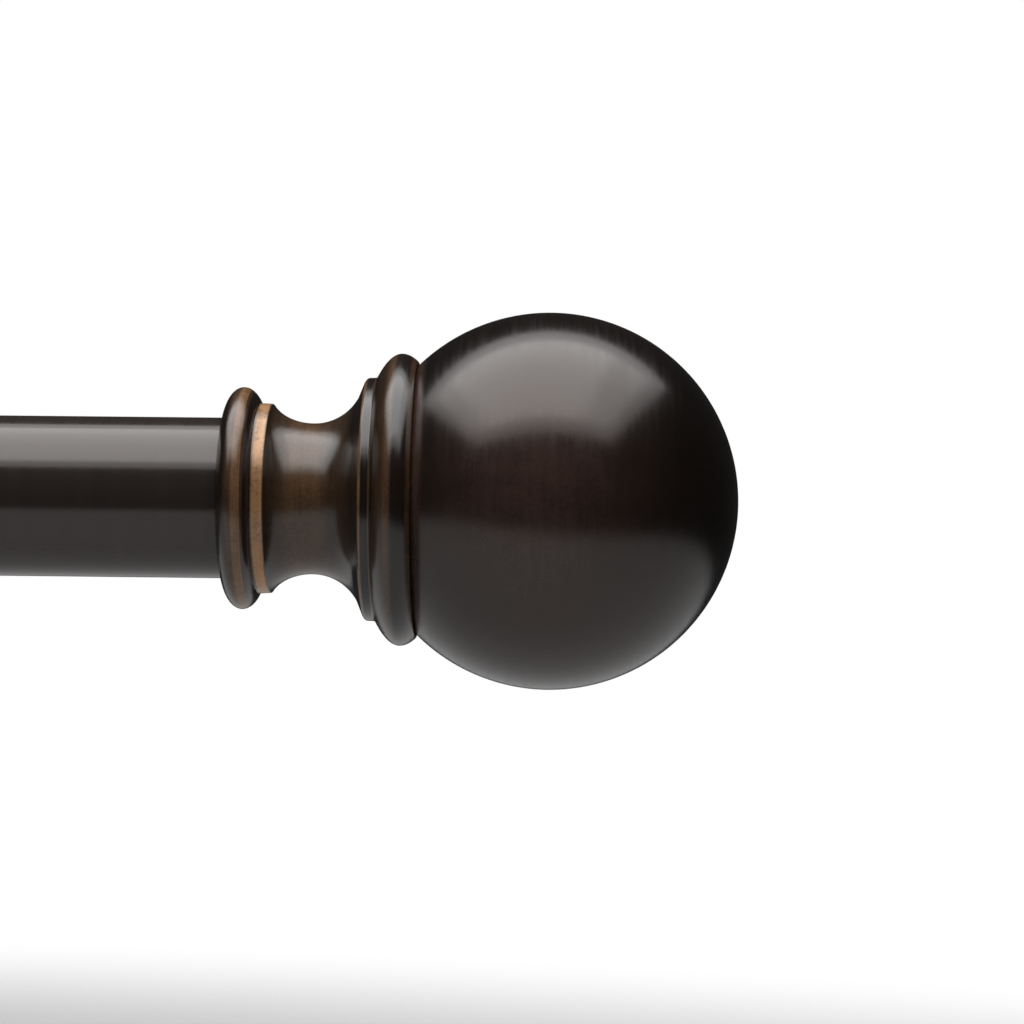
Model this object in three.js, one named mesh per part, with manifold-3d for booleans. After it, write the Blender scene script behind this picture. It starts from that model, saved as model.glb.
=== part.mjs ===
// Adjustable curtain rod: two telescoping tubes with a ball finial on each end, carried by two wall
// brackets whose arms slide out of their sleeves.
//
// Millimetres. +X runs along the rod, -Y points from the wall into the room, +Z is up. The origin is on the
// wall, midway between the brackets and level with the rod. A bracket is built in a frame of its own with +Y
// pointing into the room, and a finial in one with +Y pointing outwards along the rod. A turned piece is a
// list of [along, radius] points, revolved about its frame's +Y.

import * as THREE from 'three';
import { mergeVertices } from 'three/addons/utils/BufferGeometryUtils.js';
import Module from 'manifold-3d';

const wasm = await Module();
wasm.setup();

// ---------------------------------------------------------------- driving dimensions

const INCH = 25.4;
const GAP = 0.3; // between faces that rest on each other
const SLIDE = 0.2; // radial play of a piece that slides or turns in another
const FIT = 0.1; // radial play left where a piece is pressed, brazed or screwed in
const FINE = 24; // sides of the pieces that show and of what slides round them
const COARSE = 12; // sides of screws, their holes and what is hidden inside the tubes

// Rod
const TUBE_RADIUS = INCH / 2;
const TUBE_BORE = TUBE_RADIUS - 0.7;
const INNER_RADIUS = 11.1;
const INNER_BORE = INNER_RADIUS - 0.7;
const REST_SPAN = 810; // from one finial's shoulder to the other's, as built
const SHORTEST_SPAN = 28 * INCH;
const INNER_LENGTH = 683;
const INSERT_LENGTH = 25;
const SHOULDER = REST_SPAN / 2;

// Finials, measured outwards from the shoulder that meets the tube
const SOCKET_DEPTH = 6;
const BALL_RADIUS = 29.7;
const BALL_CENTRE = 52;
const BALL_WALL = 1.5;
const BALL_MOUTH = 12;
const STUD_RADIUS = 3; // M6
const STUD_HOLE = STUD_RADIUS + 0.15;
const STUD_GRIP = 10.5; // how far the stud reaches into its insert

// Brackets, measured outwards from the wall
const PROJECTION = 90;
const BRACKET_X = 260;
const PLATE_RADIUS = 23;
const PLATE_THICKNESS = 2.5;
const WALL_SCREW_OFFSET = 14;
const SLEEVE_RADIUS = 8;
const SLEEVE_BORE = 6.3;
const SLEEVE_END = 62;
const ARM_RADIUS = 6;
const ARM_BACK = 14;
const COLLAR_RADIUS = 10.5;
const COLLAR_LENGTH = 12;
const COVER_RADIUS = 29;
const COVER_DEPTH = 16;
const M5 = 2.5; // shank radius of the thumb screws and the machine screws
const M5_HOLE = M5 + 0.15;
const WALL_SCREW_RADIUS = 2.1;
const WALL_SCREW_LENGTH = 38;

// Cradle, about the rod's axis
const CRADLE_BORE = TUBE_RADIUS + 0.4;
const CRADLE_RADIUS = CRADLE_BORE + 3.4;
const CRADLE_WIDTH = 14;
const CRADLE_BACK_TOP = 9;
const CRADLE_FRONT_TOP = 7;
const CRADLE_BOSS_START = PROJECTION - 19.5; // where the boss that holds the arm begins
const CRADLE_BOSS_END = PROJECTION + 19; // where the thumb screw's boss ends

// ---------------------------------------------------------------- finishes

const FINISHES = {
  rodPaint: { color: 0x38332f, roughness: 0.22, metalness: 0.25 },
  finialBronze: { color: 0x2c211a, roughness: 0.32, metalness: 0.35 },
  bracketBronze: { color: 0x2e2722, roughness: 0.35, metalness: 0.3 },
  zincSteel: { color: 0xa9a8a2, roughness: 0.4, metalness: 1.0 },
  blackNylon: { color: 0x1c1a19, roughness: 0.6, metalness: 0.0 },
  anchorPlastic: { color: 0xb9b4a8, roughness: 0.65, metalness: 0.0 },
};

// ---------------------------------------------------------------- shape helpers

// Points on an ellipse. At 0 degrees they lie along +Y from its centre, at 90 degrees away from the axis.
function arc([centreAlong, centreRadius], [reachAlong, reachRadius], fromDegrees, toDegrees, steps) {
  const points = [];
  for (let i = 0; i <= steps; i += 1) {
    const angle = THREE.MathUtils.degToRad(fromDegrees + ((toDegrees - fromDegrees) * i) / steps);
    points.push([centreAlong + reachAlong * Math.cos(angle), centreRadius + reachRadius * Math.sin(angle)]);
  }
  return points;
}

// A parabolic bead: the radius falls by drop times the square of the distance from its crest.
function bead([crestAlong, crestRadius], drop, fromDistance, toDistance, steps) {
  const points = [];
  for (let i = 0; i <= steps; i += 1) {
    const distance = fromDistance + ((toDistance - fromDistance) * i) / steps;
    points.push([crestAlong + distance, crestRadius - drop * distance * distance]);
  }
  return points;
}

// A solid of revolution whose profile starts and ends on the axis.
function turned(profile, sides = FINE) {
  const points = profile.map(([along, radius]) => new THREE.Vector2(radius, along));
  return new THREE.LatheGeometry(points, sides);
}

// A solid of revolution with a hole through it: the profile closes on itself.
function turnedRing(profile, sides = FINE) {
  return turned([...profile, profile[0]], sides);
}

function tube(from, to, bore, radius, sides = FINE) {
  return turnedRing([[from, bore], [from, radius], [to, radius], [to, bore]], sides);
}

function pin(from, to, radius, sides = COARSE) {
  return turned([[from, 0], [from, radius], [to, radius], [to, 0]], sides);
}

// Turns a piece made along +Y so that it points down, for what is screwed in from below.
function pointingDown(geometry, along) {
  return geometry.rotateX(-Math.PI / 2).translate(0, along, 0);
}

// Merges shared vertices, drops the empty triangles on a lathe's axis and makes every face point outwards.
function closed(geometry) {
  const bare = geometry.clone();
  bare.deleteAttribute('normal');
  bare.deleteAttribute('uv');
  const merged = mergeVertices(bare, 1e-4);
  const position = merged.getAttribute('position');
  const index = merged.getIndex().array;
  const corner = (i) => new THREE.Vector3().fromBufferAttribute(position, i);
  const triangles = [];
  let volume = 0;
  for (let i = 0; i < index.length; i += 3) {
    const [a, b, c] = index.slice(i, i + 3);
    if (a !== b && b !== c && c !== a) {
      triangles.push([a, b, c]);
      volume += corner(a).dot(corner(b).cross(corner(c)));
    }
  }
  if (volume < 0) {
    triangles.forEach((triangle) => triangle.reverse());
  }
  merged.setIndex(triangles.flat());
  return merged;
}

function toSolid(geometry) {
  const mesh = closed(geometry);
  const vertProperties = Float32Array.from(mesh.getAttribute('position').array);
  const triVerts = Uint32Array.from(mesh.getIndex().array);
  return new wasm.Manifold(new wasm.Mesh({ numProp: 3, vertProperties, triVerts }));
}

function toGeometry(solid) {
  const mesh = solid.getMesh();
  const geometry = new THREE.BufferGeometry();
  geometry.setAttribute('position', new THREE.BufferAttribute(Float32Array.from(mesh.vertProperties), 3));
  geometry.setIndex([...mesh.triVerts]);
  return geometry;
}

function cut(geometry, ...tools) {
  return toGeometry(tools.reduce((solid, tool) => solid.subtract(toSolid(tool)), toSolid(geometry)));
}

function join(...geometries) {
  return toGeometry(geometries.map(toSolid).reduce((whole, next) => whole.add(next)));
}

// One named piece, in a material of its own.
function piece(name, geometry, finish) {
  const shape = closed(geometry);
  shape.computeVertexNormals();
  const mesh = new THREE.Mesh(shape, new THREE.MeshStandardMaterial(FINISHES[finish]));
  mesh.name = name;
  return mesh;
}

function group(...children) {
  return new THREE.Group().add(...children);
}

// ---------------------------------------------------------------- rod

// The frame's +Y runs along the rod to the right; 0 is midway between the brackets.
function rod() {
  const tubeEnd = SHOULDER + SOCKET_DEPTH - 0.5;
  const mouth = SHOULDER - SHORTEST_SPAN + 3.2;
  const innerEnd = -tubeEnd;
  const innerStart = innerEnd + INNER_LENGTH;
  const lip = 1.3;
  const skirt = 15;
  const flange = 6;

  const mouthBush = turnedRing([
    [mouth - GAP / 2 - lip, INNER_RADIUS + SLIDE],
    [mouth - GAP / 2 - lip, TUBE_RADIUS - 0.4],
    [mouth - GAP / 2 - lip + 0.4, TUBE_RADIUS],
    [mouth - GAP / 2, TUBE_RADIUS],
    [mouth - GAP / 2, TUBE_BORE - FIT],
    [mouth + skirt, TUBE_BORE - FIT],
    [mouth + skirt, INNER_RADIUS + SLIDE],
  ]);
  const glidePlug = turnedRing([
    [innerStart - skirt, INNER_BORE - 1.8],
    [innerStart - skirt, INNER_BORE - FIT],
    [innerStart + GAP / 2, INNER_BORE - FIT],
    [innerStart + GAP / 2, TUBE_BORE - SLIDE],
    [innerStart + flange, TUBE_BORE - SLIDE],
    [innerStart + flange, INNER_BORE - 1.8],
  ], COARSE);
  const insert = (outwards, bore) => {
    const face = outwards * (tubeEnd - 0.5);
    const inside = face - outwards * INSERT_LENGTH;
    const groove = (along) => face + (inside - face) * along;
    return turnedRing([
      [face, STUD_HOLE],
      [face, bore - FIT],
      [groove(0.3), bore - FIT],
      [groove(0.36), bore - 1.2],
      [groove(0.64), bore - 1.2],
      [groove(0.7), bore - FIT],
      [inside, bore - FIT],
      [inside, STUD_HOLE],
    ], COARSE);
  };

  const whole = group(
    piece('outer_tube', tube(mouth, tubeEnd, TUBE_BORE, TUBE_RADIUS), 'rodPaint'),
    piece('mouth_bush', mouthBush, 'blackNylon'),
    piece('end_insert_right', insert(1, TUBE_BORE), 'zincSteel'),
    piece('inner_tube', tube(innerEnd, innerStart, INNER_BORE, INNER_RADIUS), 'rodPaint'),
    piece('glide_plug', glidePlug, 'blackNylon'),
    piece('end_insert_left', insert(-1, INNER_BORE), 'zincSteel'),
  );
  whole.position.set(0, -PROJECTION, 0);
  whole.rotation.z = -Math.PI / 2;
  return whole;
}

// ---------------------------------------------------------------- finials

// Turned neck: a bead over the tube's end, a fillet, a long cove, a second fillet and a larger bead that
// cups the ball. Its bore lets the ball's stud through to the insert in the tube.
function finialNeck() {
  const socket = TUBE_RADIUS + SLIDE;
  const bore = STUD_RADIUS + GAP;
  const smallBead = [3.66, 12.83];
  const smallBeadHeight = 4.72;
  const largeBead = [28.62, 23.05];
  const waist = 14.7;
  const waistRadius = 11.93;
  const seat = BALL_RADIUS + 0.4;
  const seatLip = 21.6;
  const seatFloor = BALL_MOUTH + 0.6;
  const seatAngle = (radius) => 180 - THREE.MathUtils.radToDeg(Math.asin(radius / seat));
  const backFace = BALL_CENTRE - Math.sqrt(seat ** 2 - seatFloor ** 2) - GAP;
  return turnedRing([
    ...arc(smallBead, [3.11, smallBeadHeight], 177, 90, 4),
    ...arc(smallBead, [3.02, smallBeadHeight], 65, 28, 2),
    [6.5, 15.03],
    [8.02, 14.97],
    ...arc([waist, waistRadius + 5.06], [7.08, -5.06], 156, 90, 4),
    ...arc([waist, waistRadius + 8.72], [8.3, -8.72], 73, 27.5, 4),
    [22.65, 18.8],
    [23.05, 19.2],
    [24.62, 19.22],
    ...bead(largeBead, 0.255, -3.8, 0, 3),
    ...bead(largeBead, 0.195, 1, 2.48, 2),
    ...arc([BALL_CENTRE, 0], [seat, seat], seatAngle(seatLip), seatAngle(seatFloor), 3),
    [backFace, seatFloor],
    [backFace, bore],
    [SOCKET_DEPTH + 0.2, bore],
    [SOCKET_DEPTH + 0.2, socket],
    [smallBead[0] - 3.1, socket],
  ]);
}

// Hollow ball, open where its boss is brazed in.
function finialBall() {
  const inner = BALL_RADIUS - BALL_WALL;
  const mouthAngle = (radius) => 180 - THREE.MathUtils.radToDeg(Math.asin(BALL_MOUTH / radius));
  const outside = arc([BALL_CENTRE, 0], [BALL_RADIUS, BALL_RADIUS], 0, mouthAngle(BALL_RADIUS), 14);
  const inside = arc([BALL_CENTRE, 0], [inner, inner], mouthAngle(inner), 0, 7);
  return turned([...outside, ...inside]);
}

function ballBoss() {
  const face = BALL_CENTRE - Math.sqrt(BALL_RADIUS ** 2 - BALL_MOUTH ** 2) + 0.2;
  return tube(face, face + 6, STUD_RADIUS + FIT, BALL_MOUTH - 0.2, COARSE);
}

function finialStud() {
  const tip = SOCKET_DEPTH - 1 - STUD_GRIP;
  return turned([
    [tip, 0],
    [tip, STUD_RADIUS - 0.7],
    [tip + 0.7, STUD_RADIUS],
    [30.3, STUD_RADIUS],
    [30.3, 0],
  ], COARSE);
}

function finial(side) {
  const outwards = side === 'right' ? 1 : -1;
  const whole = group(
    piece(`finial_neck_${side}`, finialNeck(), 'finialBronze'),
    piece(`finial_ball_${side}`, finialBall(), 'finialBronze'),
    piece(`ball_boss_${side}`, ballBoss(), 'zincSteel'),
    piece(`finial_stud_${side}`, finialStud(), 'zincSteel'),
  );
  whole.position.set(outwards * SHOULDER, -PROJECTION, 0);
  whole.rotation.z = (-outwards * Math.PI) / 2;
  return whole;
}

// Fills the left finial's socket, which is made for the larger tube, round the smaller one.
function reducerRing() {
  const ring = group(
    piece('reducer_ring', tube(0.3, SOCKET_DEPTH - 0.3, INNER_RADIUS + FIT, TUBE_RADIUS), 'blackNylon'),
  );
  ring.position.set(-SHOULDER, -PROJECTION, 0);
  ring.rotation.z = Math.PI / 2;
  return ring;
}

// ---------------------------------------------------------------- screws

// A countersunk screw with a tapered drive recess. Its head's face is at along, its tip at tip.
function countersunkScrew(along, tip, headRadius, shankRadius, pointLength, sides = COARSE) {
  const inwards = Math.sign(tip - along);
  const at = (distance) => along + inwards * distance;
  return turned([
    [at(1.2), 0],
    [at(0), headRadius * 0.4],
    [at(0), headRadius],
    [at(headRadius - shankRadius), shankRadius],
    [tip - inwards * pointLength, shankRadius],
    [tip, pointLength > 1 ? 0.3 : shankRadius - pointLength],
    [tip, 0],
  ], sides);
}

// The hole that a countersunk screw lies in, cut a little larger than the screw all over.
function countersink(along, far, headRadius, shankRadius) {
  const inwards = Math.sign(far - along);
  const at = (distance) => along + inwards * distance;
  const shank = shankRadius + 0.25;
  const head = headRadius + 0.25;
  return turned([
    [at(-4), 0],
    [at(-4), head],
    [at(0), head],
    [at(head - shank), shank],
    [far, shank],
    [far, 0],
  ], COARSE);
}

// A nylon pad rides on the tip of each thumb screw, so that turning the screw doesn't mark what it clamps.
// Both are made along +Y, with the pad's face at 0.
function lockPad() {
  return turned([[0, 0], [0, 2.3], [0.8, 2.3], [0.8, 1], [3, 1], [3, 0]], COARSE);
}

function thumbScrew(reach) {
  const headRadius = 6.3;
  const headHeight = 7;
  return turned([
    [3.4, 0],
    [3.4, 1.25],
    [1.1, 1.25],
    [1.1, M5],
    [reach, M5],
    [reach, headRadius - 0.7],
    [reach + 0.7, headRadius],
    [reach + headHeight - 0.7, headRadius],
    [reach + headHeight, headRadius - 0.7],
    [reach + headHeight, 0],
  ], COARSE);
}

// ---------------------------------------------------------------- brackets

function mountingPlate() {
  const disc = turned([
    [0, 0],
    [0, PLATE_RADIUS],
    [PLATE_THICKNESS - 0.5, PLATE_RADIUS],
    [PLATE_THICKNESS, PLATE_RADIUS - 0.5],
    [PLATE_THICKNESS, 0],
  ]);
  const wallHole = (up) => countersink(PLATE_THICKNESS, -1, 4.5, WALL_SCREW_RADIUS).translate(0, 0, up);
  const armHole = countersink(0, PLATE_THICKNESS + 1, 4.4, M5);
  return cut(disc, wallHole(WALL_SCREW_OFFSET), wallHole(-WALL_SCREW_OFFSET), armHole);
}

function wallAnchor() {
  const start = -2.4;
  const end = -32.4;
  const bore = WALL_SCREW_RADIUS + SLIDE;
  return turnedRing([[start, bore], [start, 3.5], [end + 5, 3.5], [end, 2.9], [end, bore]], COARSE);
}

function armSleeve() {
  const lockHole = pointingDown(pin(0, COLLAR_RADIUS + 2, M5_HOLE), lockPlace());
  return cut(tube(PLATE_THICKNESS + GAP, SLEEVE_END, SLEEVE_BORE, SLEEVE_RADIUS), lockHole);
}

// The collar stiffens the sleeve's mouth and holds the arm's thumb screw.
function sleeveCollar() {
  const start = SLEEVE_END - COLLAR_LENGTH;
  const bore = SLEEVE_RADIUS + FIT;
  const collar = turnedRing([
    [start, bore],
    [start, COLLAR_RADIUS - 0.6],
    [start + 0.6, COLLAR_RADIUS],
    [SLEEVE_END - 0.4, COLLAR_RADIUS],
    [SLEEVE_END + 0.2, COLLAR_RADIUS - 0.6],
    [SLEEVE_END + 0.2, bore],
  ]);
  return cut(collar, pointingDown(pin(0, COLLAR_RADIUS + 2, M5_HOLE), lockPlace()));
}

function lockPlace() {
  return SLEEVE_END - COLLAR_LENGTH / 2;
}

function sleevePlug() {
  return tube(PLATE_THICKNESS + GAP, ARM_BACK - 2, M5_HOLE, SLEEVE_BORE - FIT, COARSE);
}

function armRod() {
  const end = CRADLE_BOSS_START + 2.3;
  return turned([
    [ARM_BACK, 0],
    [ARM_BACK, ARM_RADIUS - 0.6],
    [ARM_BACK + 0.6, ARM_RADIUS],
    [end, ARM_RADIUS],
    [end, M5_HOLE],
    [end - 12.3, M5_HOLE],
    [end - 13.3, 0],
  ]);
}

// Moulded wall cover: a rim, a quarter round, a cove and a rounded hub that rides on the sleeve.
function rosetteCover() {
  const rim = 27.4;
  const hubBack = 10.5;
  const setScrewPlace = 13.4;
  const bore = SLEEVE_RADIUS + 0.4;
  const coveCentre = [12, 25];
  const shell = turnedRing([
    [0.2, rim],
    [0.2, COVER_RADIUS],
    ...arc([2.2, COVER_RADIUS - 2.5], [2.5, 2.5], 90, 0, 3),
    ...arc(coveCentre, [7.3, -12], 180, 90, 5),
    [12.6, 13],
    ...arc([12.6, 10.2], [3.4, 2.8], 60, 0, 2),
    [COVER_DEPTH, bore],
    [hubBack, bore],
    ...arc(coveCentre, [8.9, -13.6], 100, 180, 4),
    [3.1, rim],
  ]);
  return cut(shell, pointingDown(pin(bore - 2, 16, 1.65), setScrewPlace));
}

function coverSetScrew() {
  return turned([[0, 0], [0, 1.1], [0.4, 1.5], [3.5, 1.5], [3.5, 0.75], [2.3, 0.75], [2.3, 0]], COARSE);
}

// An outline across the rod, given as [out from the wall, up], drawn out along the rod.
function extrudedAcross(outline, width) {
  const shape = new THREE.Shape(outline.map(([out, up]) => new THREE.Vector2(out, up)));
  const geometry = new THREE.ExtrudeGeometry(shape, { depth: width, bevelEnabled: false });
  const along = new THREE.Vector3(1, 0, 0);
  const out = new THREE.Vector3(0, 1, 0);
  const up = new THREE.Vector3(0, 0, 1);
  return geometry.translate(0, 0, -width / 2).applyMatrix4(new THREE.Matrix4().makeBasis(out, up, along));
}

// Open saddle that the tube is laid into from above, with a boss behind it for the arm and one in front for
// the thumb screw.
function cradle() {
  const centre = [PROJECTION, 0];
  const lip = (CRADLE_RADIUS - CRADLE_BORE) / 2;
  const inside = arc(centre, [CRADLE_BORE, CRADLE_BORE], 180, 360, 12);
  const saddle = extrudedAcross([
    ...inside,
    ...arc([PROJECTION + CRADLE_BORE + lip, CRADLE_FRONT_TOP], [lip, lip], 180, 0, 3),
    ...arc(centre, [CRADLE_RADIUS, CRADLE_RADIUS], 360, 180, 12),
    ...arc([PROJECTION - CRADLE_BORE - lip, CRADLE_BACK_TOP], [lip, lip], 180, 0, 3),
  ], CRADLE_WIDTH);
  const channel = extrudedAcross([
    ...inside,
    [PROJECTION + CRADLE_BORE, 30],
    [PROJECTION - CRADLE_BORE, 30],
  ], CRADLE_WIDTH + 10);
  const bosses = join(
    pin(CRADLE_BOSS_START, PROJECTION - 11, 8, FINE),
    pin(PROJECTION + 11, CRADLE_BOSS_END, 5.5),
  );
  return cut(
    join(saddle, cut(bosses, channel)),
    pin(CRADLE_BOSS_START - 1, CRADLE_BOSS_START + 2.6, ARM_RADIUS + 0.15, FINE),
    countersink(PROJECTION - CRADLE_BORE - 0.2, CRADLE_BOSS_START, 4.3, M5),
    pin(PROJECTION + 11, CRADLE_BOSS_END + 1, M5_HOLE),
  );
}

// A thumb screw and its pad on whatever they clamp: +Y of their group points out of the screw's hole.
function clampingPair(name, side, reach) {
  return group(
    piece(`${name}_pad_${side}`, lockPad(), 'blackNylon'),
    piece(`${name}_screw_${side}`, thumbScrew(reach), 'bracketBronze'),
  );
}

function wallFixing(side, level, up) {
  const head = PLATE_THICKNESS - 0.1;
  const screw = countersunkScrew(head, head - WALL_SCREW_LENGTH, 4.5, WALL_SCREW_RADIUS, 6);
  const fixing = group(
    piece(`wall_screw_${side}_${level}`, screw, 'zincSteel'),
    piece(`wall_anchor_${side}_${level}`, wallAnchor(), 'anchorPlastic'),
  );
  fixing.position.z = up;
  return fixing;
}

function bracket(side) {
  const armScrew = countersunkScrew(0.2, ARM_BACK - 2, 4.4, M5, 0.6);
  const cradleScrewHead = PROJECTION - CRADLE_BORE - 0.4;
  const cradleScrew = countersunkScrew(cradleScrewHead, CRADLE_BOSS_START - 9.5, 4.3, M5, 0.6);

  const armLock = clampingPair('arm_lock', side, 6);
  armLock.position.set(0, lockPlace(), -ARM_RADIUS - 0.2);
  armLock.rotation.x = -Math.PI / 2;

  const rodLock = clampingPair('rod_lock', side, CRADLE_BOSS_END - PROJECTION - TUBE_RADIUS + 1.6);
  rodLock.position.y = PROJECTION + TUBE_RADIUS + 0.2;

  const whole = group(
    piece(`mounting_plate_${side}`, mountingPlate(), 'zincSteel'),
    wallFixing(side, 'upper', WALL_SCREW_OFFSET),
    wallFixing(side, 'lower', -WALL_SCREW_OFFSET),
    piece(`arm_fixing_screw_${side}`, armScrew, 'zincSteel'),
    piece(`sleeve_plug_${side}`, sleevePlug(), 'zincSteel'),
    piece(`arm_sleeve_${side}`, armSleeve(), 'bracketBronze'),
    piece(`sleeve_collar_${side}`, sleeveCollar(), 'bracketBronze'),
    piece(`rosette_cover_${side}`, rosetteCover(), 'bracketBronze'),
    piece(`cover_set_screw_${side}`, pointingDown(coverSetScrew().translate(0, 8.6, 0), 13.4), 'zincSteel'),
    piece(`arm_rod_${side}`, armRod(), 'bracketBronze'),
    piece(`cradle_${side}`, cradle(), 'bracketBronze'),
    piece(`cradle_fixing_screw_${side}`, cradleScrew, 'zincSteel'),
    armLock,
    rodLock,
  );
  whole.position.x = side === 'right' ? BRACKET_X : -BRACKET_X;
  whole.rotation.z = Math.PI;
  return whole;
}

// ---------------------------------------------------------------- assembly

const curtainRod = group(
  bracket('left'),
  bracket('right'),
  rod(),
  reducerRing(),
  finial('left'),
  finial('right'),
);

export default curtainRod;
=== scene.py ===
# %% [markdown]
# # A telescoping curtain rod with turned ball finials
#
# The part is a metal rod in two tubes, with a ball finial screwed into each end, lying in the open cradles
# of two wall brackets. Its looks are almost all turned metal: dark bronze enamel, rubbed through to copper
# on the beads and fillets. So most of this lesson is about two things, drawing a good profile to revolve,
# and telling a material where the paint has worn.
#
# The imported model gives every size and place. Nothing here moves it: each piece is built where the model
# says, and rides on one of the model's bodies.

# %% Load the fixed frame
import math

import bmesh
import bpy
import numpy as np
from mathutils import Matrix, Vector


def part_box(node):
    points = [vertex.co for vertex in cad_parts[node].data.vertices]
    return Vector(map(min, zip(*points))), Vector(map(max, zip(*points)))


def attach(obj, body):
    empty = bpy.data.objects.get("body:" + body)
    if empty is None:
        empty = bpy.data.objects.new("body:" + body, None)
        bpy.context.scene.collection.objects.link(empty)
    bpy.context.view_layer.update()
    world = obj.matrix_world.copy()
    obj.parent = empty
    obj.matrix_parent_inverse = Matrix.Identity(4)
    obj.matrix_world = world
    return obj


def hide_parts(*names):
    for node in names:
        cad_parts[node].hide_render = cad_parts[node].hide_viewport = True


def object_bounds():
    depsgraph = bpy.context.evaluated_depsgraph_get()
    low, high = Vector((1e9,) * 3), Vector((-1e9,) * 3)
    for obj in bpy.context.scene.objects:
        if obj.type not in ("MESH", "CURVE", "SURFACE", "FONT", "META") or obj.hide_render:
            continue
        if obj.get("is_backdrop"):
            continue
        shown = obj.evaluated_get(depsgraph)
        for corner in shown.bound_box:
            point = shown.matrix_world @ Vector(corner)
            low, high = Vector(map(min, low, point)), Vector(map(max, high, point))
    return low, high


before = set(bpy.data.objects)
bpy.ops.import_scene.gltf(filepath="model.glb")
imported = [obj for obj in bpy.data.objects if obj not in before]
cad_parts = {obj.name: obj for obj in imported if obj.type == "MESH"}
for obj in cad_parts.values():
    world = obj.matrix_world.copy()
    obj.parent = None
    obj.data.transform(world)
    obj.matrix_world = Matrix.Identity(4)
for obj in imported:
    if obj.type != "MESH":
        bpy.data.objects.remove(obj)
cad_low, cad_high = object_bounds()
scene = bpy.context.scene

# %% [markdown]
# ## Places
#
# A maker measures from a few data: the rod's axis, the shoulder where each finial meets its tube, and the
# spot on the wall that each bracket is screwed to. They are read from the model's boxes. Profiles further
# down are drawn in millimetres, as a turner's drawing is, and MM turns them into Blender's metres.

# %% Read the places from the frame
MM = 0.001
SIDES = ("left", "right")
OUTWARDS = {"left": Vector((-1, 0, 0)), "right": Vector((1, 0, 0))}
INTO_ROOM = Vector((0, -1, 0))
DOWN = Vector((0, 0, -1))

BALL_RADIUS = 29.7
BALL_CENTRE = 52.0  # from the shoulder
TUBE_RADIUS = 12.7


def middle(node):
    low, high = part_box(node)
    return (low + high) / 2


def extent(node, axis):
    low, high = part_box(node)
    return low[axis] / MM, high[axis] / MM


rod_axis = middle("outer_tube")
ball_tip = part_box("finial_ball_right")[1].x
reach = (BALL_CENTRE + BALL_RADIUS) * MM
shoulder = {side: rod_axis.copy() for side in SIDES}
shoulder["right"].x = ball_tip - reach
shoulder["left"].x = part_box("finial_ball_left")[0].x + reach
wall_spot = {side: Vector((middle(f"mounting_plate_{side}").x, 0, rod_axis.z)) for side in SIDES}
PROJECTION = -rod_axis.y / MM
ball_middle = shoulder["right"] + OUTWARDS["right"] * BALL_CENTRE * MM
print("shoulders at x =", [round(shoulder[s].x, 4) for s in SIDES], "projection", round(PROJECTION, 1), "mm")

# %% [markdown]
# ## The camera
#
# The camera takes a close view of the right-hand finial, from the front and level with the rod. A fairly
# long lens about 40 cm away keeps the ball round and shows just enough perspective. The aim is a little to
# the left of the ball, so that a good length of tube shows, and the camera is rolled by a fraction of a
# degree, as if the finial drooped slightly on its stud.

# %% Place the camera
CAMERA_LENS = 87.5  # millimetres, over a sensor 36 mm wide
CAMERA_OFFSET = Vector((0.00095, -0.393, 0))  # both offsets are from the ball's middle, in metres
AIM_OFFSET = Vector((-0.0059, 0, -0.00175))
CAMERA_ROLL = math.radians(0.6)

camera = bpy.data.objects.new("camera", bpy.data.cameras.new("camera"))
scene.collection.objects.link(camera)
camera.data.sensor_width = 36.0
camera.data.lens = CAMERA_LENS
camera.location = ball_middle + CAMERA_OFFSET
aim = ball_middle + AIM_OFFSET
look = (aim - camera.location).to_track_quat("-Z", "Y").to_matrix().to_4x4()
camera.matrix_world = Matrix.Translation(camera.location) @ look @ Matrix.Rotation(CAMERA_ROLL, 4, "Z")
camera.data.clip_start = 0.01
scene.camera = camera
print("camera looks at", [round(c, 4) for c in aim])

# %% [markdown]
# ## Small helpers for node trees
#
# A material is a list of nodes and wires. These helpers keep each one readable: add() makes a node and
# fills its inputs, with a wire where it is given a socket, and maths() is one line of arithmetic.

# %% Node helpers


def fill(tree, socket, value):
    if isinstance(value, bpy.types.NodeSocket):
        tree.links.new(value, socket)
    else:
        socket.default_value = value


def add(tree, kind, inputs=None, **settings):
    node = tree.nodes.new("ShaderNode" + kind)
    for name, value in settings.items():
        setattr(node, name, value)
    for name, value in (inputs or {}).items():
        fill(tree, node.inputs[name], value)
    return node


def maths(tree, operation, *values, clamp=False):
    node = add(tree, "Math", operation=operation, use_clamp=clamp)
    for socket, value in zip(node.inputs, values):
        fill(tree, socket, value)
    return node.outputs[0]


def mix_colour(tree, factor, first, second):
    node = add(tree, "Mix", data_type="RGBA")
    for socket, value in zip((node.inputs[0], node.inputs[6], node.inputs[7]), (factor, first, second)):
        fill(tree, socket, value)
    return node.outputs[2]


def ramp(tree, value, low, high, to_low=0.0, to_high=1.0):
    inputs = {"Value": value, "From Min": low, "From Max": high, "To Min": to_low, "To Max": to_high}
    return add(tree, "MapRange", inputs, interpolation_type="SMOOTHSTEP").outputs[0]


def stretched(tree, vector, x, y, z):
    return add(tree, "VectorMath", {0: vector, 1: (x, y, z)}, operation="MULTIPLY").outputs[0]


def noise(tree, vector, scale, detail=2.0, roughness=0.5):
    inputs = {"Vector": vector, "Scale": scale, "Detail": detail, "Roughness": roughness}
    return add(tree, "TexNoise", inputs).outputs["Fac"]


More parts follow.
